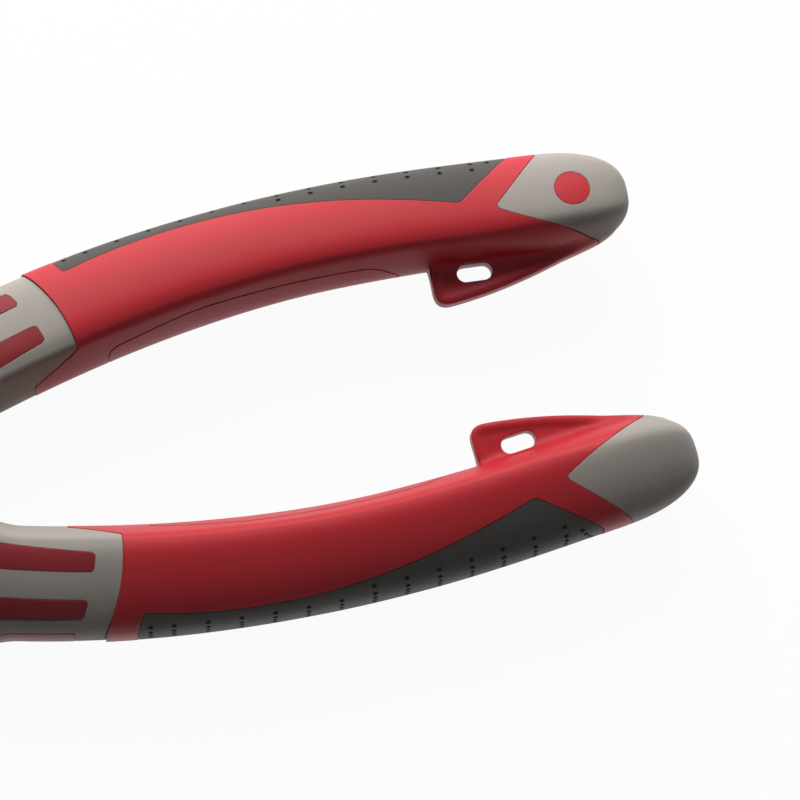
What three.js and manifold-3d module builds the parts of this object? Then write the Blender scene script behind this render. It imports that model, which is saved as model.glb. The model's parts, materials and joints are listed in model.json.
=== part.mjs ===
// Combination pliers with moulded grips, in millimetres.
// X runs from the pivot to the handles, Z is the pivot axis and the upper handle lies on the +Y side.
// One lever and its grip are shaped closed, about the mid plane of the head. The other lever is the same
// piece turned half a turn about X. Both are then opened to the rest angle.

import * as THREE from "three";
import { mergeVertices } from "three/addons/utils/BufferGeometryUtils.js";
import Module from "manifold-3d";

const wasm = await Module();
wasm.setup();

// Stance
const REST_OPENING = 6; // degrees between the levers

// Jaws, from the tip back to the joint
const JAW_LENGTH = 46; // pivot to tip
const TIP_WIDTH = 4.4; // one jaw at its tip
const TIP_CORNER = 1.6;
const TIP_THICKNESS = 8.6;
const TAPER_LENGTH = 30; // from the tip back to the full thickness
const JAW_BULGE = 2.4; // fullness of the outer edge behind the tip
const CHEEK_LENGTH = 16; // from the pivot forward, where the outer edge is still as wide as the joint
const JAW_GAP = 0.3; // between the closed jaws
const FLAT_LENGTH = 11.5; // toothed flat at the tip
const TOOTH_PITCH = 1.3;
const TOOTH_DEPTH = 0.45;
const PIPE_LENGTH = 10.5; // oval pipe grip behind the flat
const PIPE_DEPTH = 2.8;
const PIPE_TOOTH_PITCH = 1.9;
const PIPE_TOOTH_DEPTH = 0.5;
const CUTTER_LAND = 0.2; // half the flat left on the cutting edge
const CUTTER_DEPTH = 2.7; // how far the bevels fall back at the faces

// Lap joint and rivet
const HEAD_THICKNESS = 10.4;
const JOINT_RADIUS = 11.5;
const JOINT_CLEARANCE = 0.25; // round the disc and between the two discs
const JAW_SHOULDER = 8.5; // from the pivot forward to the full thickness of the jaw
const ARM_SHOULDER = 9.5; // from the pivot back to the full thickness of the arm
const RIVET_RADIUS = 4.2;
const RIVET_HEAD_RADIUS = 6;
const RIVET_HEAD_RIM = 0.6;
const RIVET_CLEARANCE = 0.15;

// Arm and tang
const ARM_ROOT_X = 6;
const ARM_ROOT_Y = 5.5;
const ARM_ROOT_ANGLE = 35;
const ARM_ROOT_WIDTH = 12.4;
const NECK_WIDTH = 10.2; // where the arm enters the grip
const NECK_THICKNESS = 7.6;
const TANG_LENGTH = 90; // inside the grip
const TANG_TIP_WIDTH = 7;
const TANG_TIP_THICKNESS = 6.4;
const TANG_CLEARANCE = 0.3;

// Line of the grip, closed
const GRIP_FRONT = 26; // pivot to the front rim
const GRIP_FRONT_OFFSET = 12; // from the X axis
const GRIP_FRONT_ANGLE = 15;
const BELLY_SETBACK = 52; // front rim to the widest place
const BELLY_OFFSET = 18.65;
const GRIP_LENGTH = 108.8;
const TAIL_OFFSET = 12.3;
const TAIL_ANGLE = -8.5;

// Section of the grip: half width and half thickness at its stations
const RIM_HALF_WIDTH = 8.4;
const RIM_HALF_THICKNESS = 7.8;
const GUARD_LENGTH = 4; // front rim to the crest of the guard
const GUARD_HALF_WIDTH = 9.4;
const GUARD_HALF_THICKNESS = 8.6;
const THROAT_LENGTH = 6; // crest of the guard to the throat
const THROAT_HALF_WIDTH = 8.5;
const THROAT_HALF_THICKNESS = 8;
const WAIST_LENGTH = 56; // throat to the slimmest place
const WAIST_HALF_WIDTH = 7.72;
const WAIST_HALF_THICKNESS = 7.8;
const HEEL_HALF_WIDTH = 7.55;
const HEEL_HALF_THICKNESS = 7.3;
const TAIL_ROUNDING = 14.8; // length over which the tail rounds off
const SECTION_POWER = 2.45; // squareness of the section on the outer side
const INNER_POWER = 2.8; // the same on the inner side
const FACE_LEAN = 4; // degrees by which both faces slope down toward the outer side
const TAIL_POWER = 2.6; // squareness of the tail

// Mouldings on the grip
const SKIN = 1.8; // depth of the collar, the pad and the cap
const SEAM = 0.3; // gap between mouldings
const COLLAR_LENGTH = 24.55;
const COLLAR_BOW = 3; // how far the collar's rear edge curves forward on the outer side
const COLLAR_APEX = 3.9; // inward from the grip's line to the rearmost place of that edge
const COLLAR_STEP = 0.35; // how far the collar lies below the bars
const TONGUE_SETBACK = 16.6; // front rim to the blunt end of the red tongue on the inner side
const TONGUE_LEAD = 4.9; // from that end on to the tip its sides would meet at
const TONGUE_SPREAD = 3.64; // degrees of half angle per millimetre behind that tip
const BAR_SETBACK = 6; // front rim to the front ends of the bars
const BAR_INSET = 3.9; // collar's rear edge to the rear ends of the bars
const BAR_WIDTH = 3;
const INNER_BAR_OFFSET = -2.1;
const OUTER_BAR_OFFSET = 4.5;
const EDGE_BAR_WIDTH = 6.8;
const PAD_GAP = 4.6; // red between the collar and the pad on the outer side
const PAD_FRONT_OFFSET = 5.3; // from the grip's line to the front corner of the pad on the faces
const PAD_FRONT_CORNER = 0.8; // cut across that corner
const PAD_EDGE_RISE = 1.75; // how far the pad's edge bows outward behind the front
const PAD_EDGE_FALL = 0.5; // how far it turns inward ahead of the rear corner
const PAD_CORNER_OFFSET = 0.25; // the same at its rear corner
const PAD_CORNER_LEAD = 5; // rear corner of the pad ahead of the tip of the cap
const PAD_REAR_RISE = 0.82; // slope of its slanted rear edge
const CAP_LENGTH = 20.3; // tip of the V to the tail
const CAP_TIP_OFFSET = -1.1;
const CAP_OUTER_RISE = 1.07; // slope of the outer leg of the V
const CAP_INNER_LENGTH = 16; // run of the inner leg of the V
const CAP_INNER_DROP = 5.9;
const CAP_BEND_LENGTH = 6.7; // where the inner leg bends
const CAP_BEND_DROP = 3.3;
const DOT_RADIUS = 2.6; // red dot in the face of the cap
const DOT_SETBACK = 8.8; // tail to the dot
const DOT_OFFSET = 0.5;

// Tether tab
const TAB_LENGTH = 25.65;
const TAB_SETBACK = 4.8; // tail to the rear end of the tab
const TAB_DEPTH = 13.35; // from the grip's line at the front corner
const TAB_RAKE = 0; // how far the front edge leans back
const TAB_CORNER = 2.6;
const TAB_BEND_LENGTH = 13.35; // front edge to the bend of the inner edge
const TAB_BEND_DEPTH = 11.75;
const TAB_ROOT = 1.3; // how deep the rear end of the tab sits in the body
const TAB_THICKNESS = 3;
const SLOT_LENGTH = 5.2;
const SLOT_WIDTH = 2.55;
const SLOT_SETBACK = 6.5; // front of the tab to the middle of the slot
const SLOT_DEPTH = 8.9; // from the grip's line

// Fineness of the faceted shapes
const SECTION_POINTS = 24;
const SPAN_STEPS = [4, 4, 9, 5];
const TAIL_STEPS = 7;
const TAIL_LAST_ANGLE = 86;
const CURVE_STEPS = 8;
const ROUND_STEPS = 36;
const REACH = 14; // outlines that only trim run this far past the grip's line

// Places that follow from the sizes
const headTop = HEAD_THICKNESS / 2;
const throatX = GRIP_FRONT + GUARD_LENGTH + THROAT_LENGTH;
const tailX = GRIP_FRONT + GRIP_LENGTH;
const heelX = tailX - TAIL_ROUNDING;
const tangEndX = GRIP_FRONT + TANG_LENGTH;
const collarRearX = GRIP_FRONT + COLLAR_LENGTH;
const capTipX = tailX - CAP_LENGTH;
const tabRearX = tailX - TAB_SETBACK;
const tabFrontX = tabRearX - TAB_LENGTH;

const LINE = [
  { x: ARM_ROOT_X, y: ARM_ROOT_Y, angle: ARM_ROOT_ANGLE },
  { x: GRIP_FRONT, y: GRIP_FRONT_OFFSET, angle: GRIP_FRONT_ANGLE },
  { x: GRIP_FRONT + BELLY_SETBACK, y: BELLY_OFFSET, angle: 0 },
  { x: tailX, y: TAIL_OFFSET, angle: TAIL_ANGLE },
];

const STATIONS = [
  { x: GRIP_FRONT, width: RIM_HALF_WIDTH, thickness: RIM_HALF_THICKNESS },
  { x: GRIP_FRONT + GUARD_LENGTH, width: GUARD_HALF_WIDTH, thickness: GUARD_HALF_THICKNESS },
  { x: throatX, width: THROAT_HALF_WIDTH, thickness: THROAT_HALF_THICKNESS },
  { x: throatX + WAIST_LENGTH, width: WAIST_HALF_WIDTH, thickness: WAIST_HALF_THICKNESS },
  { x: heelX, width: HEEL_HALF_WIDTH, thickness: HEEL_HALF_THICKNESS },
];

const radians = THREE.MathUtils.degToRad;
const mix = THREE.MathUtils.lerp;
const point = (x, y) => new THREE.Vector2(x, y);

// The stretch of a list of places that holds x, and how far along it x lies
function spanAt(places, x) {
  let i = 0;
  while (i < places.length - 2 && x > places[i + 1].x) {
    i += 1;
  }
  const length = places[i + 1].x - places[i].x;
  return { from: places[i], to: places[i + 1], length, t: (x - places[i].x) / length };
}

// Height of the grip's line above the X axis: a cubic from place to place with the given angles
function lineY(x) {
  const { from, to, length, t } = spanAt(LINE, x);
  const rise = (1 - t) * t * length;
  const ends = mix(from.y, to.y, t * t * (3 - 2 * t));
  return ends + rise * ((1 - t) * Math.tan(radians(from.angle)) - t * Math.tan(radians(to.angle)));
}

function lineAngle(x) {
  const step = 0.01;
  return Math.atan((lineY(x + step) - lineY(x - step)) / (2 * step));
}

// The place at x on the grip's line, moved outward by an offset square to the line
function onLine(x, offset) {
  const angle = lineAngle(x);
  return point(x - offset * Math.sin(angle), lineY(x) + offset * Math.cos(angle));
}

function halfSize(x, key) {
  const { from, to, t } = spanAt(STATIONS, x);
  const held = THREE.MathUtils.clamp(t, 0, 1);
  return mix(from[key], to[key], held * held * (3 - 2 * held));
}

// A signed power, for the squared-off ellipses of the section
function squared(value, power) {
  return Math.sign(value) * Math.abs(value) ** (2 / power);
}

// A solid from a closed geometry, without the triangles that collapse where a lathe meets its axis
function solid(geometry) {
  geometry.deleteAttribute("normal");
  geometry.deleteAttribute("uv");
  const merged = mergeVertices(geometry, 1e-5);
  const vertProperties = new Float32Array(merged.getAttribute("position").array);
  const corners = Array.from(merged.getIndex().array);
  const whole = corners.filter((corner, i) => {
    const [a, b, c] = corners.slice(i - (i % 3), i - (i % 3) + 3);
    return a !== b && b !== c && c !== a;
  });
  const triVerts = new Uint32Array(whole);
  return new wasm.Manifold(new wasm.Mesh({ numProp: 3, vertProperties, triVerts }));
}

function geometryOf(body) {
  const { vertProperties, triVerts } = body.getMesh();
  const geometry = new THREE.BufferGeometry();
  geometry.setAttribute("position", new THREE.BufferAttribute(new Float32Array(vertProperties), 3));
  geometry.setIndex(new THREE.BufferAttribute(new Uint32Array(triVerts), 1));
  geometry.computeVertexNormals();
  return geometry;
}

// A shape drawn in X and Y, standing from one height to another
function prism(shape, bottom, top) {
  const options = { depth: top - bottom, bevelEnabled: false, curveSegments: CURVE_STEPS };
  return solid(new THREE.ExtrudeGeometry(shape, options).translate(0, 0, bottom));
}

// A shape drawn in X and Z, running both ways along Y
function sidePrism(shape, reach) {
  const options = { depth: 2 * reach, bevelEnabled: false };
  return solid(new THREE.ExtrudeGeometry(shape, options).rotateX(Math.PI / 2).translate(0, reach, 0));
}

// A closed body through rings of equally many points, the first and last ring closed flat
function loft(rings) {
  const count = rings[0].length;
  const last = (rings.length - 1) * count;
  const faces = [];
  for (let i = 0; i + 1 < rings.length; i += 1) {
    for (let j = 0; j < count; j += 1) {
      const a = i * count + j;
      const b = i * count + ((j + 1) % count);
      faces.push(a, b, b + count, a, b + count, a + count);
    }
  }
  for (let j = 1; j + 1 < count; j += 1) {
    faces.push(0, j + 1, j, last, last + j, last + j + 1);
  }
  const geometry = new THREE.BufferGeometry().setFromPoints(rings.flat());
  geometry.setIndex(faces);
  return solid(geometry);
}

// A ring square to the grip's line at x, from offsets across the grip and heights
function ringAt(x, places) {
  return places.map(([offset, height]) => {
    const { x: px, y: py } = onLine(x, offset);
    return new THREE.Vector3(px, py, height);
  });
}

function sectionRing(x, inset, share) {
  const width = (halfSize(x, "width") - inset) * share;
  const thickness = (halfSize(x, "thickness") - inset) * share;
  const lean = Math.tan(radians(FACE_LEAN));
  const places = [];
  for (let i = 0; i < SECTION_POINTS; i += 1) {
    const angle = (2 * Math.PI * i) / SECTION_POINTS;
    const power = Math.cos(angle) < 0 ? INNER_POWER : SECTION_POWER;
    const across = width * squared(Math.cos(angle), power);
    places.push([across, (thickness - lean * across) * squared(Math.sin(angle), power)]);
  }
  return ringAt(x, places);
}

// The whole grip shape, drawn in by an inset, with its front moved forward by an overrun
function gripShape(inset, overrun) {
  const rings = [];
  if (overrun > 0) {
    rings.push(sectionRing(GRIP_FRONT - overrun, inset, 1));
  }
  SPAN_STEPS.forEach((steps, span) => {
    for (let k = 0; k < steps; k += 1) {
      rings.push(sectionRing(mix(STATIONS[span].x, STATIONS[span + 1].x, k / steps), inset, 1));
    }
  });
  for (let k = 0; k <= TAIL_STEPS; k += 1) {
    const angle = radians((TAIL_LAST_ANGLE * k) / TAIL_STEPS);
    const x = heelX + (TAIL_ROUNDING - inset) * squared(Math.sin(angle), TAIL_POWER);
    rings.push(sectionRing(x, inset, squared(Math.cos(angle), TAIL_POWER)));
  }
  return loft(rings);
}

// Moves each side of a closed outline outward by the same distance
function grown(outline, distance) {
  const turn = THREE.ShapeUtils.isClockWise(outline) ? -1 : 1;
  return outline.map((here, i) => {
    const before = outline[(i + outline.length - 1) % outline.length];
    const after = outline[(i + 1) % outline.length];
    const first = here.clone().sub(before).normalize();
    const second = after.clone().sub(here).normalize();
    const normals = point(first.y + second.y, -first.x - second.x);
    return here.clone().addScaledVector(normals, (turn * distance) / (1 + first.dot(second)));
  });
}

// A prism over an outline given as places along the grip's line and offsets from it
function gripPrism(outline, bottom, top) {
  return prism(new THREE.Shape(outline.map((place) => onLine(place.x, place.y))), bottom, top);
}

const highPrism = (outline) => gripPrism(outline, -REACH, REACH);

// Outlines of the mouldings, as places along the grip's line and offsets from it
function collarEdgeX(offset) {
  const share = (offset + COLLAR_APEX) / (THROAT_HALF_WIDTH + COLLAR_APEX);
  return collarRearX - COLLAR_BOW * share * share;
}

function collarOutline() {
  const outline = [point(GRIP_FRONT - REACH, -REACH)];
  for (let i = 0; i <= CURVE_STEPS; i += 1) {
    const offset = mix(-REACH, REACH, i / CURVE_STEPS);
    outline.push(point(collarEdgeX(offset), offset));
  }
  outline.push(point(GRIP_FRONT - REACH, REACH));
  return outline;
}

function barOutline(inner, outer) {
  const front = GRIP_FRONT + BAR_SETBACK;
  return [
    point(front, inner),
    point(collarEdgeX(inner) - BAR_INSET, inner),
    point(collarEdgeX(outer) - BAR_INSET, outer),
    point(front, outer),
  ];
}

// The bars of the collar: two columns that show on both faces, and one along the outer edge
function bars(grow) {
  const columns = [INNER_BAR_OFFSET, OUTER_BAR_OFFSET].map((offset) => {
    return highPrism(grown(barOutline(offset - BAR_WIDTH / 2, offset + BAR_WIDTH / 2), grow));
  });
  const high = EDGE_BAR_WIDTH / 2 + grow;
  const edge = gripPrism(grown(barOutline(OUTER_BAR_OFFSET, REACH), grow), -high, high);
  return columns[0].add(columns[1]).add(edge);
}

// The blunt wedge of red that runs forward into the collar on the inner side
function tongue(grow) {
  const lead = grow / Math.sin(Math.atan(radians(TONGUE_SPREAD) * THROAT_HALF_WIDTH));
  const start = GRIP_FRONT + TONGUE_SETBACK - grow;
  const tip = GRIP_FRONT + TONGUE_SETBACK - TONGUE_LEAD - lead;
  const end = collarRearX + SKIN;
  const rings = [];
  for (let i = 0; i <= CURVE_STEPS; i += 1) {
    const x = mix(start, end, i / CURVE_STEPS);
    const high = REACH * Math.tan(radians(TONGUE_SPREAD * (x - tip)));
    rings.push(ringAt(x, [[0, 0], [-REACH, high], [-REACH, -high]]));
  }
  return loft(rings);
}

function padOutline() {
  const front = collarEdgeX(THROAT_HALF_WIDTH) + PAD_GAP;
  const corner = point(capTipX - PAD_CORNER_LEAD, PAD_CORNER_OFFSET);
  const start = point(front + PAD_FRONT_CORNER, PAD_FRONT_OFFSET);
  const run = (corner.x - start.x) / 3;
  const edge = new THREE.CubicBezierCurve(
    start,
    point(start.x + run, PAD_FRONT_OFFSET + PAD_EDGE_RISE),
    point(corner.x - run, PAD_FRONT_OFFSET - PAD_EDGE_FALL),
    corner,
  );
  const rear = corner.x + (REACH - corner.y) / PAD_REAR_RISE;
  return [
    point(front, REACH),
    point(front, PAD_FRONT_OFFSET + PAD_FRONT_CORNER),
    ...edge.getPoints(CURVE_STEPS),
    point(rear, REACH),
  ];
}

function capOutline() {
  const tip = point(capTipX, CAP_TIP_OFFSET);
  const innerEnd = point(tip.x + CAP_INNER_LENGTH, tip.y - CAP_INNER_DROP);
  const innerBend = point(tip.x + CAP_BEND_LENGTH, tip.y - CAP_BEND_DROP);
  const inner = new THREE.QuadraticBezierCurve(tip, innerBend, innerEnd);
  return [
    point(tip.x + (REACH - tip.y) / CAP_OUTER_RISE, REACH),
    ...inner.getPoints(CURVE_STEPS),
    point(tailX + SKIN, -REACH),
    point(tailX + REACH, -REACH),
    point(tailX + REACH, REACH),
  ];
}

// The round dot of the body in one face of the cap
function dot(grow) {
  const centre = onLine(tailX - DOT_SETBACK, DOT_OFFSET);
  const circle = new THREE.Shape().absarc(centre.x, centre.y, DOT_RADIUS + grow, 0, 2 * Math.PI);
  return prism(circle, 0, REACH);
}

// The tether tab, a plate in the mid plane with a slot along it
function tab() {
  const front = onLine(tabFrontX, -HEEL_HALF_WIDTH + SKIN);
  const corner = onLine(tabFrontX + TAB_RAKE, -TAB_DEPTH);
  const before = corner.clone().lerp(front, TAB_CORNER / corner.distanceTo(front));
  const bend = onLine(tabFrontX + TAB_BEND_LENGTH, -TAB_BEND_DEPTH);
  const after = corner.clone().lerp(bend, TAB_CORNER / corner.distanceTo(bend));
  const rear = onLine(tabRearX, -HEEL_HALF_WIDTH + TAB_ROOT);
  const root = onLine(tabRearX, -HEEL_HALF_WIDTH + TAB_ROOT + SKIN);
  const plate = new THREE.Shape();
  plate.moveTo(front.x, front.y);
  plate.lineTo(before.x, before.y);
  plate.quadraticCurveTo(corner.x, corner.y, after.x, after.y);
  plate.quadraticCurveTo(bend.x, bend.y, rear.x, rear.y);
  plate.lineTo(root.x, root.y);
  return prism(plate, -TAB_THICKNESS / 2, TAB_THICKNESS / 2);
}

function slot() {
  const x = tabFrontX + SLOT_SETBACK;
  const centre = onLine(x, -SLOT_DEPTH);
  const radius = SLOT_WIDTH / 2;
  const half = SLOT_LENGTH / 2 - radius;
  const stadium = new THREE.Shape();
  stadium.absarc(half, 0, radius, -Math.PI / 2, Math.PI / 2);
  stadium.absarc(-half, 0, radius, Math.PI / 2, 1.5 * Math.PI);
  const options = { depth: 2 * REACH, bevelEnabled: false, curveSegments: CURVE_STEPS };
  const geometry = new THREE.ExtrudeGeometry(stadium, options);
  return solid(geometry.rotateZ(lineAngle(x)).translate(centre.x, centre.y, -REACH));
}

// Steel lever
function armHalfWidth(x) {
  const root = { x: ARM_ROOT_X, width: ARM_ROOT_WIDTH };
  const neck = { x: GRIP_FRONT, width: NECK_WIDTH };
  const { from, to, t } = spanAt([root, neck, { x: tangEndX, width: TANG_TIP_WIDTH }], x);
  return mix(from.width, to.width, t) / 2;
}

// Side view of the lever: head, taper to the tip, and arm thinning into the tang
function sideShape(grow) {
  const places = [
    [-JAW_LENGTH - grow, TIP_THICKNESS],
    [-JAW_LENGTH + TAPER_LENGTH, HEAD_THICKNESS],
    [JOINT_RADIUS, HEAD_THICKNESS],
    [GRIP_FRONT, NECK_THICKNESS],
    [tangEndX + grow, TANG_TIP_THICKNESS],
  ];
  const upper = places.map(([x, thickness]) => point(x, thickness / 2 + grow));
  const lower = places.map(([x, thickness]) => point(x, -thickness / 2 - grow)).reverse();
  return new THREE.Shape([...upper, ...lower]);
}

// The arm and tang in plan, as wide as the arm plus a clearance all round
function armSolid(grow) {
  const outer = [];
  const inner = [];
  const steps = 2 * CURVE_STEPS;
  for (let i = 0; i <= steps; i += 1) {
    const x = mix(ARM_ROOT_X, tangEndX + grow, i / steps);
    outer.push(onLine(x, armHalfWidth(x) + grow));
    inner.push(onLine(x, -armHalfWidth(x) - grow));
  }
  const plan = prism(new THREE.Shape([...outer, ...inner.reverse()]), -headTop - grow, headTop + grow);
  return plan.intersect(sidePrism(sideShape(grow), 2 * GRIP_FRONT));
}

// The jaw in plan: teeth on the flat, teeth round the pipe grip, then the cutting edge
function jawShape() {
  const mating = -JAW_GAP / 2;
  const tip = -JAW_LENGTH;
  const pipeFront = tip + FLAT_LENGTH;
  const shape = new THREE.Shape();
  shape.moveTo(tip, -TIP_WIDTH + TIP_CORNER);
  shape.lineTo(tip, mating);
  const teeth = Math.floor(FLAT_LENGTH / TOOTH_PITCH);
  const land = FLAT_LENGTH - teeth * TOOTH_PITCH;
  for (let i = 0; i < teeth; i += 1) {
    const crest = tip + land / 2 + i * TOOTH_PITCH;
    shape.lineTo(crest, mating);
    shape.lineTo(crest + TOOTH_PITCH / 2, mating - TOOTH_DEPTH);
  }
  shape.lineTo(pipeFront - land / 2, mating);
  const radius = (PIPE_LENGTH ** 2 / 4 + PIPE_DEPTH ** 2) / (2 * PIPE_DEPTH);
  const sweep = Math.asin(PIPE_LENGTH / 2 / radius);
  const ridges = 2 * Math.floor((2 * radius * sweep) / PIPE_TOOTH_PITCH);
  for (let i = 0; i <= ridges; i += 1) {
    const angle = mix(-sweep, sweep, i / ridges);
    const reach = radius - (i % 2) * PIPE_TOOTH_DEPTH;
    const x = pipeFront + PIPE_LENGTH / 2 + reach * Math.sin(angle);
    shape.lineTo(x, mating - PIPE_DEPTH + radius - reach * Math.cos(angle));
  }
  shape.lineTo(-JOINT_RADIUS / 2, mating);
  shape.lineTo(0, -JOINT_RADIUS + JOINT_CLEARANCE);
  const bend = JOINT_RADIUS + JAW_BULGE - TIP_WIDTH;
  shape.bezierCurveTo(
    -CHEEK_LENGTH,
    -JOINT_RADIUS,
    tip + bend + TIP_CORNER,
    -TIP_WIDTH - JAW_BULGE,
    tip + TIP_CORNER,
    -TIP_WIDTH,
  );
  shape.quadraticCurveTo(tip, -TIP_WIDTH, tip, -TIP_WIDTH + TIP_CORNER);
  return shape;
}

// One bevel of the cutting edge, above the mid plane or below it
function cutterBevel(side) {
  const mating = -JAW_GAP / 2;
  const front = -JAW_LENGTH + FLAT_LENGTH + PIPE_LENGTH;
  const rear = -JOINT_RADIUS - JOINT_CLEARANCE;
  const wedge = new THREE.Shape([
    point(mating, side * CUTTER_LAND),
    point(mating - CUTTER_DEPTH, side * headTop),
    point(mating - CUTTER_DEPTH, side * HEAD_THICKNESS),
    point(JOINT_RADIUS, side * HEAD_THICKNESS),
    point(JOINT_RADIUS, side * CUTTER_LAND),
  ]);
  const options = { depth: rear - front, bevelEnabled: false };
  const geometry = new THREE.ExtrudeGeometry(wedge, options);
  return solid(geometry.rotateZ(Math.PI / 2).rotateY(Math.PI / 2).translate(front, 0, 0));
}

// The rivet, or the hole for it when it is grown
function rivet(grow) {
  const high = headTop + (grow > 0 ? 1 : 0);
  const pin = RIVET_RADIUS + grow;
  const head = RIVET_HEAD_RADIUS + grow;
  const neck = headTop - RIVET_HEAD_RIM - (RIVET_HEAD_RADIUS - RIVET_RADIUS);
  const rim = headTop - RIVET_HEAD_RIM;
  const half = [point(0, high), point(head, high), point(head, rim - grow), point(pin, neck - grow)];
  const mirrored = half.map((place) => point(place.x, -place.y));
  const profile = [...mirrored, ...half.reverse()];
  return solid(new THREE.LatheGeometry(profile, ROUND_STEPS).rotateX(Math.PI / 2));
}

function disc(radius, bottom, top) {
  const geometry = new THREE.CylinderGeometry(radius, radius, top - bottom, ROUND_STEPS);
  return solid(geometry.rotateX(Math.PI / 2).translate(0, 0, (bottom + top) / 2));
}

// The lever has its disc above the mid plane, and room below for the other lever's disc
function lever() {
  const level = JOINT_CLEARANCE / 2;
  const low = -HEAD_THICKNESS;
  const wide = 2 * JOINT_RADIUS;
  const between = new THREE.Shape([
    point(-JAW_SHOULDER, -wide),
    point(ARM_SHOULDER, -wide),
    point(ARM_SHOULDER, wide),
    point(-JAW_SHOULDER, wide),
  ]);
  const room = disc(JOINT_RADIUS + JOINT_CLEARANCE, low, level).add(prism(between, low, level));
  const jaw = prism(jawShape(), -headTop, headTop).intersect(sidePrism(sideShape(0), 2 * GRIP_FRONT));
  const blank = jaw.add(armSolid(0)).subtract(room).add(disc(JOINT_RADIUS, level, headTop));
  return blank.subtract(cutterBevel(1)).subtract(cutterBevel(-1)).subtract(rivet(RIVET_CLEARANCE));
}

// Grip mouldings
const whole = gripShape(0, 0);
const under = gripShape(SKIN, 1);
const core = gripShape(SKIN + SEAM, 1);

function gripBody() {
  const half = SEAM / 2;
  const collarRoom = highPrism(grown(collarOutline(), half)).subtract(bars(0)).subtract(tongue(0));
  const capRoom = highPrism(grown(capOutline(), half)).subtract(dot(0));
  const padRoom = highPrism(grown(padOutline(), half));
  const room = collarRoom.add(capRoom).add(padRoom).subtract(core);
  return whole.add(tab()).subtract(room).subtract(slot()).subtract(armSolid(TANG_CLEARANCE));
}

function collar() {
  const zone = highPrism(grown(collarOutline(), -SEAM / 2)).subtract(bars(SEAM)).subtract(tongue(SEAM));
  return gripShape(COLLAR_STEP, 0).intersect(zone).subtract(under);
}

function pad() {
  return whole.intersect(highPrism(grown(padOutline(), -SEAM / 2))).subtract(under);
}

function cap() {
  const zone = highPrism(grown(capOutline(), -SEAM / 2)).subtract(dot(SEAM));
  return whole.intersect(zone).subtract(under);
}

const steel = { color: "#8d9093", roughness: 0.35, metalness: 1 };
const redPlastic = { color: "#b5353a", roughness: 0.42, metalness: 0 };
const lightSoft = { color: "#95908a", roughness: 0.75, metalness: 0 };
const darkSoft = { color: "#4b4844", roughness: 0.8, metalness: 0 };

const PIECES = [
  { name: "lever", shape: geometryOf(lever()), look: steel },
  { name: "grip_body", shape: geometryOf(gripBody()), look: redPlastic },
  { name: "grip_collar", shape: geometryOf(collar()), look: lightSoft },
  { name: "palm_pad", shape: geometryOf(pad()), look: darkSoft },
  { name: "end_cap", shape: geometryOf(cap()), look: lightSoft },
];

function meshOf(name, geometry, look) {
  const mesh = new THREE.Mesh(geometry, new THREE.MeshStandardMaterial(look));
  mesh.name = name;
  return mesh;
}

// One lever with its mouldings, as shaped or turned over
function leverGroup(side, turnedOver) {
  const group = new THREE.Group();
  for (const { name, shape, look } of PIECES) {
    group.add(meshOf(`${side}_${name}`, shape, look));
  }
  group.rotation.x = turnedOver ? Math.PI : 0;
  const swing = new THREE.Group();
  swing.rotation.z = radians((turnedOver ? -1 : 1) * (REST_OPENING / 2));
  swing.add(group);
  return swing;
}

const pliers = new THREE.Group();
pliers.name = "combination_pliers";
pliers.add(leverGroup("upper", false));
pliers.add(leverGroup("lower", true));
pliers.add(meshOf("pivot_rivet", geometryOf(rivet(0)), steel));
pliers.position.z = headTop;

export default pliers;
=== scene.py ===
# Combination pliers: moulded grips, steel levers and rivet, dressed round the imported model.
# One lever and its grip are drawn closed, in millimetres about the mid plane of the head, and put in place
# twice: as drawn for the upper half, and turned over for the lower one.
import json
import math

import bmesh
import bpy
import numpy as np
from mathutils import Matrix, Vector

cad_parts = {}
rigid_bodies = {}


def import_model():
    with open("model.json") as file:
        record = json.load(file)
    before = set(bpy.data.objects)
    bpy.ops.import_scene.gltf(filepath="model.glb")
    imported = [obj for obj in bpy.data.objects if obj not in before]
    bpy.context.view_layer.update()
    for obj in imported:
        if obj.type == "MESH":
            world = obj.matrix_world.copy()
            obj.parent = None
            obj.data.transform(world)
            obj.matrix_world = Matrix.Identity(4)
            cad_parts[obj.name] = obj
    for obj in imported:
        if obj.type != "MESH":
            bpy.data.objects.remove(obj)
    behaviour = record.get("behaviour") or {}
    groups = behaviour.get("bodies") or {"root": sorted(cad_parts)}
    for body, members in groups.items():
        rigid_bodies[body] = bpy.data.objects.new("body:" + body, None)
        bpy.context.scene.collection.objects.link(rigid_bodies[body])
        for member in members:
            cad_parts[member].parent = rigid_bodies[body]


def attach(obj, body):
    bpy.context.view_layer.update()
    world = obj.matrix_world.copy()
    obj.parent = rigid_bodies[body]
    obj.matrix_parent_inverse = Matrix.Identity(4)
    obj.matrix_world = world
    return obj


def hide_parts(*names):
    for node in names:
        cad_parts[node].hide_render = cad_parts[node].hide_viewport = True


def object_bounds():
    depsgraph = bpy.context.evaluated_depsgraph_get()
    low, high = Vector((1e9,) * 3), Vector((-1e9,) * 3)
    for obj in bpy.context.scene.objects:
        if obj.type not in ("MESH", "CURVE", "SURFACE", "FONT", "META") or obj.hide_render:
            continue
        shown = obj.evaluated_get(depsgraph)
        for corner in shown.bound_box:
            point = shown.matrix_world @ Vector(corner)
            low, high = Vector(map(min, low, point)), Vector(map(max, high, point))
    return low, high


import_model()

cadBox = [[float(v) for v in corner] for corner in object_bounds()]
millimetre = 0.001
tiny = 1e-12
print("frame loaded, box", cadBox)


# Materials
def linearColour(code):
    parts = [int(code[i:i + 2], 16) / 255 for i in (1, 3, 5)]
    return [p / 12.92 if p <= 0.04045 else ((p + 0.055) / 1.055) ** 2.4 for p in parts] + [1.0]


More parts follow.
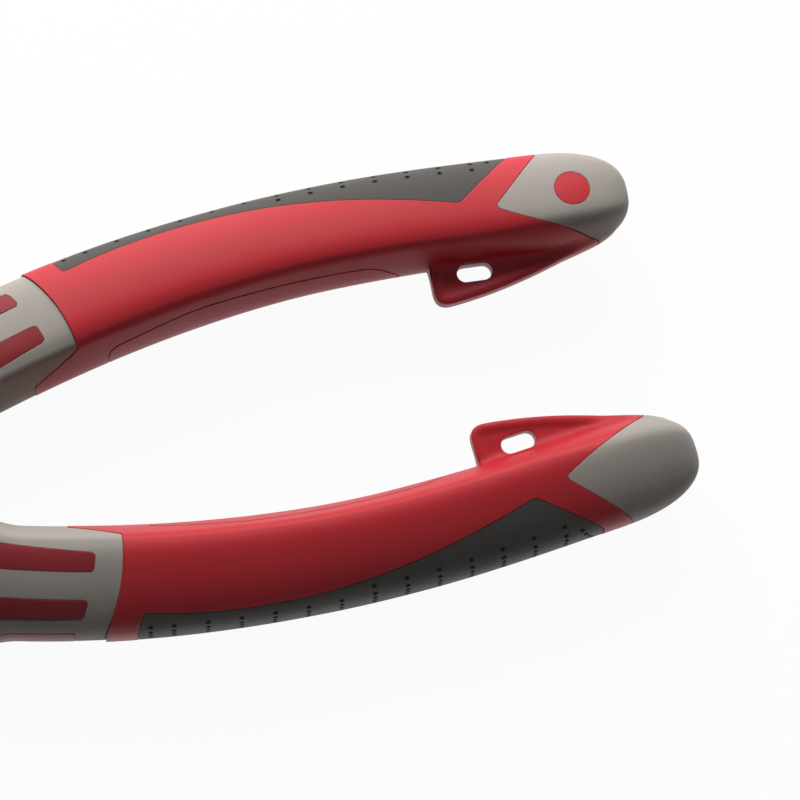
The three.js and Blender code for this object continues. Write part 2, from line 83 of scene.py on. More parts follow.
def addNode(tree, kind, settings, links=None):  # settings are properties or inputs, links feed inputs
    node = tree.nodes.new(kind)
    for key, value in settings.items():
        if isinstance(key, str) and hasattr(node, key):
            setattr(node, key, value)
        else:
            node.inputs[key].default_value = value
    for key, source in (links or {}).items():
        tree.links.new(source, node.inputs[key])
    return node.outputs


def perMetre(size):  # how many features of a size in millimetres fit in a metre
    return 1 / (size * millimetre)


def newMaterial(name):
    material = bpy.data.materials.new(name)
    material.use_nodes = True
    material.node_tree.nodes.clear()
    return material, material.node_tree


# Polypropylene, injection moulded in a finely eroded tool: an even satin with a broad soft highlight,
# gloss that drifts a little from place to place, and a grain that only breaks up the highlight.
redPlastic = {
    "colours": ("#a8232b", "#ae2a31"),
    "gloss": (0.42, 0.5),
    "cloud": (14, 3),  # size of the patches of other colour and gloss, mm, and their octaves
    "pattern": ("ShaderNodeTexNoise", {"Detail": 2, "Roughness": 0.6}),
    "grain": 0.3,  # spark-eroded texture of the mould, mm
    "depth": 0.004,
    "skin": {"IOR": 1.49},
}

# Thermoplastic elastomer moulded over the hard grip: matt and slightly velvety, with a fine grain that
# hides the highlight and a faint paler bloom where hands rub it.
softPlastic = {
    "gloss": (0.56, 0.68),
    "cloud": (9, 4),
    "pattern": ("ShaderNodeTexNoise", {"Detail": 3, "Roughness": 0.65}),
    "grain": 0.26,
    "depth": 0.008,
    "skin": {"IOR": 1.5, "Sheen Weight": 0.06, "Sheen Roughness": 0.5},
}

# Drop-forged tool steel, shot blasted and oiled: grey metal with a dull broken shine.
blastedSteel = {
    "colours": ("#a1a3a4", "#8f9193"),
    "cloud": (7, 4),
    "pattern": ("ShaderNodeTexVoronoi", {}),
    "grain": 0.22,  # dents of the blasting, mm
    "depth": 0.012,
    "skin": {"Metallic": 1, "Roughness": 0.42},
}

# The same steel surface ground across the head: bright, with fine lines along the grinding direction.
groundSteel = {
    "colours": ("#c6c7c6", "#b0b1b1"),
    "gloss": (0.24, 0.34),
    "cloud": (9, 3),
    "pattern": ("ShaderNodeTexNoise", {"Detail": 3, "Roughness": 0.7}),
    "stretch": (0.03, 1, 1),
    "grain": 0.16,  # spacing of the lines, mm, drawn coarser than real so that they show
    "depth": 0.004,
    "skin": {"Metallic": 1},
}
cloudSpan = (0.3, 0.7)  # most of a noise pattern lies between these values


def surface(name, recipe, **changes):  # patches of other colour and gloss, and a fine pattern as relief
    recipe = {**recipe, **changes}
    material, tree = newMaterial(name)
    place = addNode(tree, "ShaderNodeTexCoord", {})["Object"]
    size, octaves = recipe["cloud"]
    cloud = addNode(tree, "ShaderNodeTexNoise", {"Scale": perMetre(size), "Detail": octaves},
                    {"Vector": place})["Fac"]
    along = place
    if "stretch" in recipe:
        along = addNode(tree, "ShaderNodeMapping", {"Scale": recipe["stretch"]}, {"Vector": place})[0]
    kind, settings = recipe["pattern"]
    pattern = addNode(tree, kind, {"Scale": perMetre(recipe["grain"]), **settings},
                      {"Vector": along})[0]
    first, second = [linearColour(code) for code in recipe["colours"]]
    tint = addNode(tree, "ShaderNodeMix", {"data_type": "RGBA", 6: first, 7: second},
                   {0: pattern if "stretch" in recipe else cloud})[2]
    relief = addNode(tree, "ShaderNodeBump", {"Strength": 1, "Distance": recipe["depth"] * millimetre},
                     {"Height": pattern})["Normal"]
    links = {"Base Color": tint, "Normal": relief}
    if "gloss" in recipe:
        links["Roughness"] = addNode(tree, "ShaderNodeMapRange", {
            "From Min": cloudSpan[0], "From Max": cloudSpan[1],
            "To Min": recipe["gloss"][0], "To Max": recipe["gloss"][1],
        }, {"Value": cloud})["Result"]
    skin = addNode(tree, "ShaderNodeBsdfPrincipled", recipe["skin"], links)[0]
    addNode(tree, "ShaderNodeOutputMaterial", {}, {"Surface": skin})
    return material


redSatin = surface("polypropylene_moulded_satin_red", redPlastic)
redGrained = surface("polypropylene_moulded_grained_red", redPlastic, grain=0.45, depth=0.07)  # pebbled panel
redBarShade = surface("polypropylene_moulded_satin_red_painted_shade", redPlastic,  # painted shade: the bars sunk in the collar's windows drawn in a darker red
                  colours=("#7a2126", "#80262b"))
lightSoft = surface("elastomer_moulded_matt_light_grey", softPlastic, colours=("#8d8780", "#968f88"))
darkSoft = surface("elastomer_moulded_matt_dark_grey", softPlastic, colours=("#3f3c38", "#484541"))
steelBlasted = surface("tool_steel_forged_blasted", blastedSteel)
steelGround = surface("tool_steel_surface_ground", groundSteel)
print("materials made:", len(bpy.data.materials))


# The grip's line and section
grip = {
    "line": [(6, 5.5, 35), (26, 12, 15), (78, 18.65, 0), (134.8, 12.3, -8.5)],  # x, y, angle
    "sizes": [(26, 8.4, 7.8), (30, 9.4, 8.6), (36, 8.5, 8), (92, 7.72, 7.8),
              (120, 7.55, 7.3)],  # x, half width, half thickness
    "outer": 0.976,  # share of the half width that the palm side reaches
    "inner": 1.05,  # the same on the inner side, where the wall cuts it off
    "tall": 0.985,
    "lean": 4,  # degrees by which both faces slope toward the palm side
    "roof": {"lean": 21, "rise": 0.057, "edge": 0.28},  # flatter palm half: degrees, shares of thickness
    "wall": {"lean": 63, "round": 3, "reach": (0.985, 1.03), "edge": (0.06, 0.3)},  # leaning inner side
    "fade": (110, 128),  # where the crease above that side softens toward the tail
    "front": 26,
    "heel": 120,
    "tail": 134.8,
    "squareness": (2.6, 2.9),  # palm side and inner side
    "tailSquareness": 2.6,
    "frontRound": 1.2,
    "shy": 0.04,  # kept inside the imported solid
    "step": 0.5,  # spacing of the stations
    "frontStops": 7,
    "tailStops": 34,
    "outerRows": 26,
    "sideRows": 18,
    "innerRows": 30,
    "tabRows": 20,  # those of the inner rows that follow the tab's faces
    "tabRowsFrom": (0.6, 0.35),  # half widths where they start, at the tab's front and at the tail
    "tabRowsShift": (2, 20),  # how far behind that front the change begins, and its length
    "tabRowsHem": 1.3,  # what they leave free along the rim
    "beyond": 20.0,  # further out than any section
    "halvings": 36,
    "pull": 0.16,  # a corner within this share of an edge moves onto a cut
}

tab = {
    "front": (104.35, 5.75),  # station and depth below the grip's line
    "corner": (104.35, 13.35),
    "cornerCut": 2.6,
    "bend": (117.7, 11.75),
    "rear": (129.6, 6.1),
    "end": (131, 5),
    "root": (131, 3.5),
    "depths": (0, 16, 801),  # where its outline is measured
    "stops": [(-0.5, 0, 6), (0, 0.9, 16), (0.9, 2.5, 9)],  # close stations round its front edge
    "thickness": 3,
    "web": 2.5,  # thickness inside the bead along the rim
    "bead": (0.8, 1.1),  # width of the bead and of the slope inside it
    "edge": 0.5,  # rounding of the rim
    "fillet": [(104.35, 0.6), (107, 1.3), (120, 1.3), (126, 2)],  # station and width of the blend
    "slotLength": 5.2,
    "slotWidth": 2.55,
    "slotAt": (110.85, 8.9),
    "slotEdge": 0.14,
    "slotPoints": 13,
}


def mix(a, b, t):
    return a + (b - a) * t


def smooth(t):
    t = np.clip(t, 0, 1)
    return t * t * (3 - 2 * t)


def leaning(degrees):
    return math.sin(math.radians(degrees)), math.cos(math.radians(degrees))


def stretchAt(knots, x):  # the stretch of a table that a station is on, how far along, and its length
    i = np.clip(np.searchsorted(knots[:, 0], x) - 1, 0, len(knots) - 2)
    length = knots[i + 1, 0] - knots[i, 0]
    return i, (x - knots[i, 0]) / length, length


def lineHeight(x):
    x = np.asarray(x, float)
    knots = np.array(grip["line"], float)
    i, t, length = stretchAt(knots, x)
    lean = np.tan(np.radians(knots[:, 2]))
    ends = mix(knots[i, 1], knots[i + 1, 1], t * t * (3 - 2 * t))
    return ends + t * (1 - t) * length * ((1 - t) * lean[i] - t * lean[i + 1])


def lineAngle(x, step=0.01):
    return np.arctan((lineHeight(x + step) - lineHeight(x - step)) / (2 * step))


def onLine(x, offset, height):
    angle = lineAngle(x)
    return np.stack([x - offset * np.sin(angle), lineHeight(x) + offset * np.cos(angle), height + 0 * x], -1)


def halfSizes(x):
    x = np.asarray(x, float)
    knots = np.array(grip["sizes"], float)
    i, t, length = stretchAt(knots, x)
    sizes = mix(knots[i, 1:], knots[i + 1, 1:], smooth(t)[..., None]) - grip["shy"]
    bend, power = grip["frontRound"], grip["tailSquareness"]
    ahead = np.clip(grip["front"] + bend - x, 0, bend)
    sizes = sizes - (bend - np.sqrt(bend ** 2 - ahead ** 2))[..., None]
    run = np.clip((x - grip["heel"]) / (grip["tail"] - grip["heel"] - grip["shy"]), 0, 1)
    return sizes * ((1 - run ** power) ** (1 / power))[..., None]


def curve(points, count):  # Bezier curve from its control points
    points = np.array(points, float)
    places = []
    for t in np.linspace(0, 1, count):
        level = points
        while len(level) > 1:
            level = mix(level[:-1], level[1:], t)
        places.append(tuple(level[0]))
    return places


def toward(a, b, distance):
    a, b = np.array(a, float), np.array(b, float)
    return tuple(a + (b - a) * distance / np.linalg.norm(b - a))


def rounded(before, here, after, cut, count):
    return curve([toward(here, before, cut), here, toward(here, after, cut)], count)


def softened(corners, cut):  # rounds every corner of a closed outline
    places = []
    for i, here in enumerate(corners):
        places += rounded(corners[i - 1], here, corners[(i + 1) % len(corners)], cut, 7)
    return places


def outlineDistance(u, v, outline):  # negative inside
    best = np.full(np.shape(u), np.inf)
    inside = np.zeros(np.shape(u), bool)
    for (ax, ay), (bx, by) in zip(outline, outline[1:] + outline[:1]):
        ex, ey = bx - ax, by - ay
        t = np.clip(((u - ax) * ex + (v - ay) * ey) / max(ex * ex + ey * ey, tiny), 0, 1)
        best = np.minimum(best, (u - ax - t * ex) ** 2 + (v - ay - t * ey) ** 2)
        if ay != by:
            inside ^= ((ay > v) != (by > v)) & (u < ex * (v - ay) / ey + ax)
    return np.where(inside, -1, 1) * np.sqrt(best)


def tabOutline():
    corner = rounded(tab["front"], tab["corner"], tab["bend"], tab["cornerCut"], 9)
    edge = curve([corner[-1], tab["bend"], tab["rear"]], 25)[1:]
    return [tab["front"]] + corner + edge + [tab["end"], tab["root"]]


def blended(a, b, width):  # the lower of two values, with a soft change between them
    share = np.clip(0.5 + 0.5 * (b - a) / width, 0, 1)
    return mix(b, a, share) - width * share * (1 - share)


def gripStations():
    start, edge = grip["front"] + grip["frontRound"], tab["front"][0]
    stops = [np.linspace(grip["front"], start, grip["frontStops"])]
    stops += [edge + np.linspace(*span) for span in tab["stops"]]
    for a, b in ((start, edge + tab["stops"][0][0]), (edge + tab["stops"][-1][1], grip["heel"])):
        stops.append(np.linspace(a, b, int((b - a) / grip["step"]) + 2)[1:-1])
    turns = np.radians(np.linspace(0, 90, grip["tailStops"]))
    reach = grip["tail"] - grip["heel"] - grip["shy"]
    stops.append(grip["heel"] + reach * np.sin(turns) ** (2 / grip["tailSquareness"]))
    return np.unique(np.round(np.concatenate(stops), 6))


def gripSection(x, outline):  # offsets and heights of one section, from the outer edge over to the inner one
    a, c = halfSizes(x)
    depths = np.linspace(*tab["depths"])
    within = -outlineDistance(np.full(len(depths), x), depths, outline)
    reached = depths[within > 0].max() if (within > 0).any() else 0
    shift, length = grip["tabRowsShift"]
    behind = smooth((x - tab["front"][0] - shift) / length)  # the tab's rows go on to the tail
    near = a * mix(*grip["tabRowsFrom"], behind)
    far = max(a * grip["tabRowsFrom"][0], reached - grip["tabRowsHem"])
    out = grip["tabRows"] if far > near else 0
    fan = np.radians(np.linspace(0, 90, grip["outerRows"] + 1))
    side = np.linspace(0, near, grip["sideRows"] + 1)[1:]
    side = np.concatenate([side, np.linspace(near, far, out + 1)[1:]])
    last = np.radians(np.linspace(90, 180, grip["innerRows"] - out + 1))[1:]
    start = np.concatenate([0 * fan, -side, 0 * last - far])
    turn = np.concatenate([fan, 0 * side + math.pi / 2, last])
    width = np.interp(x, *zip(*tab["fillet"]))
    wall, roof, beyond = grip["wall"], grip["roof"], grip["beyond"]
    wallOut, wallUp = leaning(wall["lean"])
    roofOut, roofUp = leaning(roof["lean"])
    late = smooth((x - grip["fade"][0]) / (grip["fade"][1] - grip["fade"][0]))
    reach, crease = a * mix(*wall["reach"], late), c * mix(*wall["edge"], late)
    low, high = np.zeros(len(turn)), np.full(len(turn), beyond)
    for _ in range(grip["halvings"]):
        middle = (low + high) / 2
        offset, height = start + middle * np.cos(turn), middle * np.sin(turn)
        power = np.where(offset > 0, *grip["squareness"])
        wide = a * np.where(offset > 0, grip["outer"], grip["inner"])
        tall = c * grip["tall"] - offset * math.tan(math.radians(grip["lean"]))
        body = ((np.abs(offset) / wide) ** power + np.abs(height / tall) ** power) ** (1 / power) - 1
        rise = np.hypot(height, wall["round"]) - wall["round"]
        slant = rise * wallUp - (offset + reach) * wallOut
        body = -blended(-body * min(a, c), -slant, crease)
        slope = (np.abs(height) - c * (1 + roof["rise"])) * roofUp + offset * roofOut
        body = -blended(-body, -slope, c * roof["edge"])
        inside = np.interp(-offset, depths, within, left=-beyond, right=-beyond)
        sideways = tab["edge"] - inside
        thick = mix(tab["thickness"], tab["web"], smooth((inside - tab["bead"][0]) / tab["bead"][1]))
        upward = np.abs(height) - (thick / 2 - tab["edge"])
        plate = np.minimum(np.maximum(sideways, upward), 0) - tab["edge"]
        plate = plate + np.hypot(np.maximum(sideways, 0), np.maximum(upward, 0))
        outside = blended(body, plate, width) > 0
        high = np.where(outside, middle, high)
        low = np.where(outside, low, middle)
    offset, height = start + low * np.cos(turn), low * np.sin(turn)
    height[0] = height[-1] = 0
    return offset, height


def gripSurface():
    stations = gripStations()
    outline = tabOutline()
    places = []
    for x in stations[:-1]:
        offset, height = gripSection(x, outline)
        offset = np.concatenate([offset, offset[-2:0:-1]])
        height = np.concatenate([height, -height[-2:0:-1]])
        places.append(np.stack([np.full(len(offset), x), offset, height], -1))
    count = len(places[0])
    places = np.concatenate(places + [np.array([[stations[-1], 0.0, 0.0]])])
    rings = len(stations) - 1
    i, j = np.meshgrid(np.arange(rings - 1), np.arange(count), indexing="ij")
    a, b = i * count + j, i * count + (j + 1) % count
    faces = np.stack([a, b, b + count, a + count], -1).reshape(-1, 4)
    k, end, tip = np.arange(count), (rings - 1) * count, np.full(count, rings * count)
    faces = np.concatenate([faces, np.stack([end + k, end + (k + 1) % count, tip, tip], -1)])
    points = onLine(places[:, 0], places[:, 1], places[:, 2])
    return {"places": places, "points": points, "faces": padded(faces), "count": count,
            "locked": np.zeros(len(points), bool), "normals": vertexNormals(points, faces)}


def padded(faces, width=8):  # faces of any size as rows of one table, the last corner repeated
    table = np.empty((len(faces), width), int)
    for i, face in enumerate(faces):
        table[i, :len(face)] = face
        table[i, len(face):] = face[-1]
    return table


def loopOf(row):  # the corners of such a row without the repeats
    row = row.tolist()
    return [corner for corner, before in zip(row, row[-1:] + row[:-1]) if corner != before]


def vertexNormals(points, faces):
    across = np.cross(points[faces[:, 2]] - points[faces[:, 0]], points[faces[:, 3]] - points[faces[:, 1]])
    flat = np.linalg.norm(across, axis=1) < tiny
    across[flat] = np.cross(points[faces[flat, 1]] - points[faces[flat, 0]],
                            points[faces[flat, 2]] - points[faces[flat, 0]])
    across /= np.maximum(np.linalg.norm(across, axis=1, keepdims=True), tiny)
    normals = np.zeros_like(points)
    for k in range(4):
        np.add.at(normals, faces[:, k], across)
    return normals / np.linalg.norm(normals, axis=1, keepdims=True)


def splitAlong(shape, measure):  # new edges along the line where the measure is zero
    places, points, normals = shape["places"], shape["points"], shape["normals"]
    values = measure(places)
    faces = shape["faces"]
    signs = np.sign(values)[faces]
    crossed = (signs.min(1) < 0) & (signs.max(1) > 0)
    rows = faces[crossed]
    pairs = np.concatenate([rows, np.roll(rows, -1, 1)], 0).reshape(2, -1).T
    pairs = np.unique(np.sort(pairs, 1), axis=0)
    pairs = pairs[np.sign(values[pairs[:, 0]]) * np.sign(values[pairs[:, 1]]) < 0]
    share = values[pairs[:, 0]] / (values[pairs[:, 0]] - values[pairs[:, 1]])
    pulls = [(s, a, b) for s, (a, b) in zip(share, pairs)]
    pulls += [(1 - s, b, a) for s, a, b in pulls]
    for s, a, b in sorted(pulls, key=lambda pull: -pull[0]):  # a corner close to the line moves onto it
        if s < grip["pull"] and not shape["locked"][a] and values[a] * values[b] < 0:
            for table in (places, points, normals):
                table[a] = mix(table[a], table[b], s)
            values[a] = 0
    signs = np.sign(values)
    shape["locked"] |= values == 0
    cuts, extra, fresh = {}, [], []
    for row in rows:
        loop = loopOf(row)
        walk = []
        for a, b in zip(loop, loop[1:] + loop[:1]):
            walk.append((a, signs[a]))
            if signs[a] * signs[b] < 0:
                key = (min(a, b), max(a, b))
                if key not in cuts:
                    cuts[key] = len(points) + len(extra)
                    extra.append((a, b, values[a] / (values[a] - values[b])))
                walk.append((cuts[key], 0))
        above = [corner for corner, sign in walk if sign >= 0]
        if len(above) > 2 and any(sign > 0 for corner, sign in walk):
            fresh.append(above)
        start = next(i for i, (corner, sign) in enumerate(walk) if sign >= 0)
        run = []
        for corner, sign in walk[start:] + walk[:start + 1]:  # each stretch below the line on its own
            if sign < 0:
                run.append(corner)
            else:
                if run:
                    fresh.append(([last] if last != corner else []) + run + [corner])
                last, run = corner, []
    if extra:
        a, b = np.array([e[0] for e in extra]), np.array([e[1] for e in extra])
        t = np.array([e[2] for e in extra])[:, None]
        for key in ("places", "points", "normals"):
            shape[key] = np.concatenate([shape[key], mix(shape[key][a], shape[key][b], t)])
    shape["normals"] /= np.linalg.norm(shape["normals"], axis=1, keepdims=True)
    shape["locked"] = np.concatenate([shape["locked"], np.ones(len(extra), bool)])
    shape["faces"] = np.concatenate([faces[~crossed], padded(fresh)]) if fresh else faces


# Outlines of the mouldings on the grip, as distances that are negative inside
mouldings = {
    "reach": 14,  # offset past the grip's edges, where open outlines are closed
    "far": 9,  # distance given on the sides where an outline doesn't count
    "collarRear": 50.55,
    "collarBow": 3,
    "collarApex": 3.9,
    "collarSpan": 12.4,
    "collarRound": 0.2,
    "tongueTip": 37.7,
    "tongueSpread": 3.64,  # degrees of half angle per millimetre
    "tongueRadius": 8,
    "tongueEnd": 42.6,  # where its tip is cut off
    "tongueRound": 0.5,
    "innerBar": [(32, -4.85), (46.65, -3.3), (46.4, -0.5), (32, -0.95)],
    "outerBar": [(32, 3.0), (45.55, 3.35), (44.8, 5.95), (32, 6.1)],
    "edgeBar": [(32, -3.45), (43.6, -3.45), (43.6, 3.45), (32, 3.45)],  # station and height
    "barRound": 0.7,
    "barsEnd": (47, -5.15),  # station and offset that bound all bars
    "padFront": (52.95, 5.3),
    "padLean": 0.34,  # how far its front edge leans forward toward the palm side
    "padBends": (7.1, 4.8),
    "padCorner": (109.5, 0.25),
    "padRise": 0.82,
    "padTurn": 0.5,
    "capTip": (114.5, -1.1),
    "capRise": 1.07,
    "capTurn": 0.9,
    "capInner": [(121.2, -4.4), (130.5, -7)],
    "capHeel": 136.6,
    "capFar": 150,
    "dot": (126, 0.5),
    "dotRadius": 2.6,
    "panel": [(54.4, 3.5), (69, 5.05), (96.2, 3.9)],  # corners on one side, station and height
    "panelTip": (100.6, 0),
    "panelRound": 2.2,
    "seam": 0.11,  # half of the strip taken by the two rounded edges
    "groove": 0.16,  # half width of the line round the panel
    "grooveDepth": 0.28,
    "depth": 1.5,
    "softDepth": 1.44,
    "hem": 0.012,  # flat strip between a patch and its rounded edge
    "redLip": 0.08,
    "softLip": 0.09,
    "grooveLip": 0.05,
    "collarSink": (0.3, 0.08),  # behind the bars and on the inner side
    "sinkFade": (4.5, 2.5),  # offset where that changes, and over what width
    "barSink": 0.26,
    "padSink": 0.06,
}


def collarDistance(places):
    x, n, z = places.T
    share = (n + mouldings["collarApex"]) / mouldings["collarSpan"]
    slope = 2 * mouldings["collarBow"] * share / mouldings["collarSpan"]
    behind = (x - mouldings["collarRear"] + mouldings["collarBow"] * share ** 2) / np.sqrt(1 + slope ** 2)
    spread, radius = math.radians(mouldings["tongueSpread"]), mouldings["tongueRadius"]
    turn = np.arctan2(np.abs(z), -n)
    tongue = radius * (turn - spread * (x - mouldings["tongueTip"])) / math.hypot(1, radius * spread)
    tongue = -blended(-tongue, x - mouldings["tongueEnd"], mouldings["tongueRound"])
    return -blended(-behind, tongue, mouldings["collarRound"])


def barDistance(places):
    x, n, z = places.T
    bars = [softened(mouldings[name], mouldings["barRound"]) for name in ("innerBar", "outerBar", "edgeBar")]
    flat = np.minimum(outlineDistance(x, n, bars[0]), outlineDistance(x, n, bars[1]))
    return np.minimum(flat, np.where(n > 0, outlineDistance(x, z, bars[2]), mouldings["far"]))


def padDistance(places):
    x, n, z = places.T
    front, corner, reach = mouldings["padFront"], mouldings["padCorner"], mouldings["reach"]
    bends, cut = mouldings["padBends"], mouldings["padTurn"]
    run = (corner[0] - front[0]) / 3
    edge = curve([front, (front[0] + run, bends[0]), (corner[0] - run, bends[1]), corner], 40)
    lead = (front[0] - mouldings["padLean"] * (reach - front[1]), reach)
    rear = (corner[0] + (reach - corner[1]) / mouldings["padRise"], reach)
    turnFront = rounded(lead, front, edge[1], cut, 5)
    turnRear = rounded(edge[-3], corner, rear, cut, 5)
    return outlineDistance(x, n, [lead] + turnFront + edge[1:-1] + turnRear + [rear])


def capDistance(places):
    x, n, z = places.T
    tip, reach, far = mouldings["capTip"], mouldings["reach"], mouldings["capFar"]
    outer = (tip[0] + (reach - tip[1]) / mouldings["capRise"], reach)
    inner = curve([tip] + mouldings["capInner"], 30)
    turn = curve([toward(tip, outer, mouldings["capTurn"]), tip, inner[2]], 9)
    rest = [(mouldings["capHeel"], -reach), (far, -reach), (far, reach)]
    return outlineDistance(x, n, [outer] + turn + inner[3:] + rest)


def dotDistance(places):
    x, n, z = places.T
    ring = np.hypot(x - mouldings["dot"][0], n - mouldings["dot"][1]) - mouldings["dotRadius"]
    return np.where(z > 0, ring, mouldings["far"])


def panelDistance(places):
    x, n, z = places.T
    half = mouldings["panel"]
    outline = half + [mouldings["panelTip"]] + [(u, -v) for u, v in reversed(half)]
    outline = softened(outline, mouldings["panelRound"])
    return np.where(n < 0, outlineDistance(x, z, outline), mouldings["far"])


outlines = (collarDistance, barDistance, padDistance, capDistance, dotDistance, panelDistance)


def cutGrip():
    shape = gripSurface()
    for distance in outlines:
        half = mouldings["groove" if distance is panelDistance else "seam"]
        splitAlong(shape, lambda places: distance(places) - half)
        splitAlong(shape, lambda places: distance(places) + half)
    return shape


shape = cutGrip()
middles = np.array([shape["places"][loopOf(row)].mean(0) for row in shape["faces"]])
collarSide, barSide, padSide, capSide, dotSide, panelSide = [distance(middles) for distance in outlines]
seam = mouldings["seam"]
isCollar = (collarSide < -seam) & (barSide > seam)
isPad = padSide < -seam
isCap = (capSide < -seam) & (dotSide > seam)
isGroove = np.abs(panelSide) < mouldings["groove"]
isRed = (collarSide > seam) & (padSide > seam) & (capSide > seam) & ~isGroove
isRed |= (barSide < -seam) | (dotSide < -seam)
print("grip surface:", len(shape["points"]), "points,", len(shape["faces"]), "faces")


# Closed mouldings from parts of that surface
softEdge = math.radians(50)  # edges with a flatter angle are shaded smooth


def rimOf(loops):  # directed edges with a face on one side only
    edges = {(a, b) for loop in loops for a, b in zip(loop, loop[1:] + loop[:1])}
    return [(a, b) for a, b in edges if (b, a) not in edges]


def rimDirections(rim, points, normals):  # along the surface and away from the patch, evened out twice
    away = {}
    for a, b in rim:
        step = np.cross(points[b] - points[a], normals[a] + normals[b])
        for corner in (a, b):
            away[corner] = away.get(corner, 0) + step
    followers = dict(rim)
    leaders = {b: a for a, b in rim}
    for _ in range(2):
        away = {k: v / np.linalg.norm(v) for k, v in away.items()}
        away = {k: v + 0.5 * (away[followers[k]] + away[leaders[k]]) for k, v in away.items()}
    return {k: v / np.linalg.norm(v) for k, v in away.items()}


def moulding(mask, sink, depth, lip, below):  # patch, rounded edge, wall and the patch below
    points, normals = shape["points"], shape["normals"]
    loops = [loopOf(row) for row in shape["faces"][mask]]
    rim = rimOf(loops)
    away = rimDirections(rim, points, normals)
    turns = np.radians([0, 30, 60, 90])
    made, index, faces = [], {}, []

    def corner(key, place):
        if key not in index:
            index[key] = len(made)
            made.append(place)
        return index[key]

    def top(i):
        return corner(("top", i), points[i] - normals[i] * sink[i])

    def bottom(i):
        return corner(("low", i), points[i] - normals[i] * depth[i])

    def edge(i, k):
        out = mouldings["hem"] + math.sin(turns[k]) * lip[i]
        down = sink[i] + (1 - math.cos(turns[k])) * lip[i]
        return corner((k, i), points[i] - normals[i] * down + away[i] * out)

    faces += [[top(i) for i in loop] for loop in loops]
    last = len(turns) - 1
    for a, b in rim:
        faces.append([top(b), top(a), edge(a, 0), edge(b, 0)])
        for k in range(last):
            faces.append([edge(b, k), edge(a, k), edge(a, k + 1), edge(b, k + 1)])
        faces.append([edge(b, last), edge(a, last), bottom(a), bottom(b)])
    if below is None:
        faces += [[bottom(i) for i in reversed(loop)] for loop in loops]
    else:
        faces += [[bottom(i) for i in loopOf(row)] for row in shape["faces"][below]]
    return made, faces, len(loops), bottom


def shadeSmooth(mesh, sharp):
    mesh.polygons.foreach_set("use_smooth", np.ones(len(mesh.polygons), bool))
    mesh.set_sharp_from_angle(angle=sharp)


def finishMesh(name, points, faces, materials, sharp=softEdge):
    mesh = bpy.data.meshes.new(name)
    mesh.from_pydata([[float(v) * millimetre for v in p] for p in points], [], faces)
    for material in materials:
        mesh.materials.append(material)
    shadeSmooth(mesh, sharp)
    mesh.update()
    return mesh


def level(value):
    return np.full(len(shape["points"]), float(value))


def softMesh(name, mask, sink, material):
    made = moulding(mask, sink, level(mouldings["softDepth"]), level(mouldings["softLip"]), None)
    return finishMesh(name, made[0], made[1], [material])


sinkFrom, sinkWidth = mouldings["sinkFade"]
collarSink = mix(*mouldings["collarSink"], smooth((-shape["places"][:, 1] - sinkFrom) / sinkWidth))
collarMesh = softMesh("collar", isCollar, collarSink, lightSoft)
padMesh = softMesh("pad", isPad, level(mouldings["padSink"]), darkSoft)
capMesh = softMesh("cap", isCap, level(0), lightSoft)
print("collar, pad and cap:", [len(m.polygons) for m in (collarMesh, padMesh, capMesh)], "faces")


# The steel arm that the grip sits on, needed for the bore of the grip too
arm = {
    "root": 6,
    "rootWidth": 12.4,
    "neckWidth": 10.2,
    "tipWidth": 7,
    "end": 116,
    "headThickness": 10.4,
    "neckThickness": 7.6,
    "tipThickness": 6.4,
    "headEnd": 11.5,
    "squareness": 5,
    "neckEnd": 30,  # rings from the root to here, then along the tang
    "neckRings": 14,
    "tangFrom": 34,
    "tangRings": 22,
    "ringPoints": 48,
    "clearance": 0.3,  # room round it in the bore
    "boreFront": 27.9,
    "boreFrom": 30,
    "boreRings": 16,
    "boreSquareness": 7,
    "shy": 0.02,
}


def armRing(x, grow, count, power):
    turn = 2 * math.pi * np.arange(count) / count
    width = np.interp(x, [arm["root"], grip["front"], arm["end"]],
                      [arm["rootWidth"], arm["neckWidth"], arm["tipWidth"]])
    thick = np.interp(x, [arm["headEnd"], grip["front"], arm["end"]],
                      [arm["headThickness"], arm["neckThickness"], arm["tipThickness"]])
    across = (width / 2 + grow) * np.sign(np.cos(turn)) * np.abs(np.cos(turn)) ** (2 / power)
    high = (thick / 2 + grow) * np.sign(np.sin(turn)) * np.abs(np.sin(turn)) ** (2 / power)
    return onLine(np.full(count, float(x)), across, high)


def redBody():
    sink, depth, lip = level(0), level(mouldings["depth"]), level(mouldings["redLip"])
    bothRims = mouldings["groove"] + 0.05
    near = np.abs(panelDistance(shape["places"])) < bothRims
    depth[near], lip[near] = mouldings["grooveDepth"], mouldings["grooveLip"]
    sink[barDistance(shape["places"]) < 0] = mouldings["barSink"]
    points, faces, outer, bottom = moulding(isRed, sink, depth, lip, ~isRed)
    count = shape["count"]
    ring = [bottom(j) for j in range(count)]  # the front of the body, round the bore
    boreEnd = arm["end"] + arm["clearance"]
    for x in [arm["boreFront"], *np.linspace(arm["boreFrom"], boreEnd, arm["boreRings"])]:
        fresh = list(range(len(points), len(points) + count))
        points += list(armRing(x, arm["clearance"], count, arm["boreSquareness"]))
        faces += [[ring[j], fresh[j], fresh[(j + 1) % count], ring[(j + 1) % count]] for j in range(count)]
        ring = fresh
    faces.append(ring[::-1])
    mesh = finishMesh("body", points, faces, [redSatin, redGrained, redBarShade])
    finish = np.zeros(len(mesh.polygons), int)
    finish[:outer] = panelSide[isRed] < 0
    x, y, z = np.array([face.center for face in mesh.polygons]).T / millimetre
    offset = (y - lineHeight(x)) * np.cos(lineAngle(x))
    # the bars in the collar's windows take the red with painted shade
    finish[(x < mouldings["barsEnd"][0]) & (offset > mouldings["barsEnd"][1])] = 2
    mesh.polygons.foreach_set("material_index", finish)
    return mesh


bodyMesh = redBody()
print("red body:", len(bodyMesh.polygons), "faces")


# Cutting and joining solids
def objectOf(mesh, name):
    made = bpy.data.objects.new(name, mesh)
    bpy.context.scene.collection.objects.link(made)
    return made


